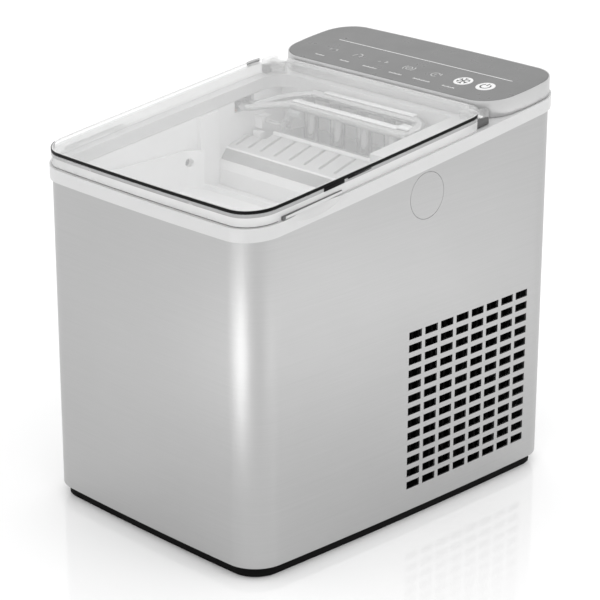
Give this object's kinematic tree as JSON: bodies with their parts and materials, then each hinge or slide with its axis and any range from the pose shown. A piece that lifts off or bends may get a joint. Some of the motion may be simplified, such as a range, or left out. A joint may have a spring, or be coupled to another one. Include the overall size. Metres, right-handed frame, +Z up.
{
  "type": "ice maker",
  "caption": "Countertop bullet ice maker: brushed steel body, clear hinged lid, white tub and basket, sloping touch panel, side vents.",
  "frame": {"origin": "under the middle of the body, at the level of the feet", "axes": "+Z up, -Y is the front with the lid, +Y is the rear with the control console, +X is the side with the square vent grid"},
  "size_m": [0.231, 0.318, 0.3067],
  "materials": {
    "brushed_steel": "satin, fine horizontal brushing",
    "black_plastic": "fine grain",
    "rubber": "matte",
    "grey_plastic": "satin",
    "zinc": "zinc plated sheet",
    "white_plastic": "satin moulded",
    "silver_paint": "silver metallic satin",
    "panel_grey": "smooth overlay film",
    "button_white": "satin",
    "circuit_board": "solder mask",
    "clear_plastic": "clear, polished",
    "nickel": "bright nickel plate",
    "foam": "expanded foam",
    "tray_grey": "smoky satin",
    "clear_hose": "silicone",
    "black_enamel": "semi-gloss enamel",
    "aluminium_fins": "plain",
    "copper": "drawn copper"
  },
  "bodies": {
    "cabinet": {"steel_wrap": "brushed_steel", "side_cap": "brushed_steel", "base_pan": "black_plastic", "foot_front_left": "rubber", "foot_front_right": "rubber", "foot_rear_left": "rubber", "foot_rear_right": "rubber", "rear_panel": "grey_plastic", "rear_screw_1": "zinc", "rear_screw_2": "zinc", "rear_screw_3": "zinc", "rear_screw_4": "zinc", "drain_spout": "white_plastic", "cord_gland": "black_plastic", "top_rim": "white_plastic", "console_housing": "silver_paint", "panel_overlay": "panel_grey", "control_board": "circuit_board", "power_board": "circuit_board", "hinge_pin_left": "nickel", "hinge_pin_right": "nickel", "hinge_block_left": "grey_plastic", "hinge_block_right": "grey_plastic", "tub": "white_plastic", "reservoir": "white_plastic", "maker_box": "white_plastic", "ice_sensor_left": "grey_plastic", "ice_sensor_right": "grey_plastic", "foam_jacket": "foam", "partition": "zinc", "comb_slide": "white_plastic", "tray_axle": "nickel", "tray_motor": "grey_plastic", "evaporator": "nickel", "evaporator_bracket": "zinc", "pump": "grey_plastic", "fill_hose": "clear_hose", "drain_hose": "clear_hose", "compressor": "black_enamel", "grommet_1": "rubber", "grommet_2": "rubber", "grommet_3": "rubber", "condenser": "aluminium_fins", "fan_shroud": "grey_plastic", "fan_motor": "black_enamel", "filter_drier": "copper", "discharge_line": "copper", "liquid_line": "copper", "suction_line": "copper", "capillary_line": "copper"},
    "lid": {"lid": "clear_plastic", "lid_edge_trim": "black_plastic"},
    "water_tray": {"water_tray": "tray_grey", "motor_shaft": "nickel"},
    "ice_shovel": {"ice_shovel": "white_plastic"},
    "fan": {"fan": "grey_plastic"},
    "select_button": {"select_button": "button_white"},
    "power_button": {"power_button": "button_white"},
    "ice_basket": {"ice_basket": "white_plastic"},
    "drain_cap": {"drain_cap": "black_plastic"}
  },
  "joints": [
    {"name": "lid_hinge", "type": "hinge", "parent": "cabinet", "child": "lid", "pos_m": [0, 0.069, 0.2895], "axis": [-1, 0, 0], "range_deg": [0, 85]},
    {"name": "tray_tilt", "type": "hinge", "parent": "cabinet", "child": "water_tray", "pos_m": [0, 0.052, 0.25], "axis": [-1, 0, 0], "range_deg": [0, 20]},
    {"name": "shovel_push", "type": "slide", "parent": "cabinet", "child": "ice_shovel", "axis": [0, -0.9552, -0.2961], "range_m": [0, 0.017]},
    {"name": "fan_spin", "type": "hinge", "parent": "cabinet", "child": "fan", "pos_m": [0.07, 0.059, 0.087], "axis": [-1, 0, 0], "continuous": true},
    {"name": "select_press", "type": "slide", "parent": "cabinet", "child": "select_button", "axis": [0, 0.125, -0.9922], "range_m": [0, 0.0008], "stiffness_N_per_m": 900, "springref_m": -0.0002},
    {"name": "power_press", "type": "slide", "parent": "cabinet", "child": "power_button", "axis": [0, 0.125, -0.9922], "range_m": [0, 0.0008], "stiffness_N_per_m": 900, "springref_m": -0.0002},
    {"name": "basket_lift", "type": "slide", "parent": "cabinet", "child": "ice_basket", "axis": [0, 0, 1], "range_m": [0, 0.02]},
    {"name": "drain_cap_pull", "type": "slide", "parent": "cabinet", "child": "drain_cap", "axis": [0, 1, 0], "range_m": [0, 0.012]}
  ],
  "couplings": [
    {"joint": "shovel_push", "follows": "tray_tilt", "m_per_rad": 0.048415}
  ]
}
